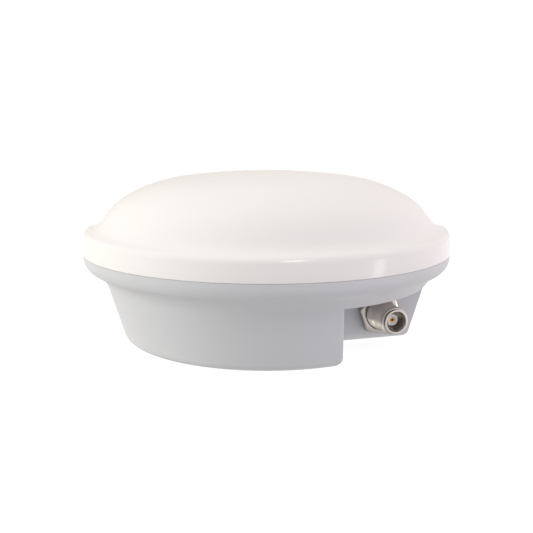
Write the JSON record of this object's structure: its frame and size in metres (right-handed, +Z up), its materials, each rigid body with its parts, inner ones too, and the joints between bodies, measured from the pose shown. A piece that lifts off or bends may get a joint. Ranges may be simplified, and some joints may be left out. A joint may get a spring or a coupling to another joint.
{
  "type": "gnss receiver",
  "caption": "Survey GNSS antenna with a domed radome over a flared round housing, and a coaxial jack in a corner recess of its base.",
  "frame": {"origin": "centre of the flat underside of the housing, on the axis of the antenna", "axes": "+Z up along the axis towards the top of the dome, -Y the way the coaxial jack points, +X towards the open side of the recess"},
  "size_m": [0.152, 0.152, 0.0683],
  "materials": {
    "radome_white": "smooth, glossy white",
    "housing_grey": "satin grey paint on cast aluminium",
    "seal_rubber": "matte",
    "insert_brass": "turned",
    "vent_black": "matte",
    "membrane_white": "matte breathing membrane",
    "jack_nickel": "turned, nickel plated",
    "nut_nickel": "nickel plated",
    "washer_steel": "satin",
    "insulator_white": "smooth white fluoropolymer",
    "contact_gold": "gold plated",
    "plate_aluminium": "plain sheet",
    "element_ceramic": "matte dielectric",
    "element_silver": "plated foil",
    "small_brass": "plain",
    "screw_steel": "stainless",
    "board_green": "lacquered circuit board",
    "can_tin": "tinned sheet",
    "lead_jacket": "smooth jacket"
  },
  "bodies": {
    "root": {"radome": "radome_white", "housing": "housing_grey", "rim_seal": "seal_rubber", "thread_insert": "insert_brass", "vent_plug": "vent_black", "vent_membrane": "membrane_white", "jack_body": "jack_nickel", "jack_nut": "nut_nickel", "jack_lock_washer": "washer_steel", "jack_seal": "seal_rubber", "jack_insulator": "insulator_white", "jack_contact": "contact_gold", "ground_plate": "plate_aluminium", "lower_element": "element_ceramic", "lower_element_foil": "element_silver", "upper_element": "element_ceramic", "upper_element_foil": "element_silver", "element_screw": "small_brass", "amplifier_board": "board_green", "shield_can": "can_tin", "coax_launch": "small_brass", "coax_lead": "lead_jacket", "case_screw_1": "screw_steel", "case_screw_2": "screw_steel", "case_screw_3": "screw_steel", "case_screw_4": "screw_steel", "case_screw_5": "screw_steel", "case_screw_6": "screw_steel", "feed_pin_1": "small_brass", "standoff_1": "small_brass", "board_screw_1": "screw_steel", "feed_pin_2": "small_brass", "standoff_2": "small_brass", "board_screw_2": "screw_steel", "feed_pin_3": "small_brass", "standoff_3": "small_brass", "board_screw_3": "screw_steel", "feed_pin_4": "small_brass", "standoff_4": "small_brass", "board_screw_4": "screw_steel"}
  },
  "joints": []
}
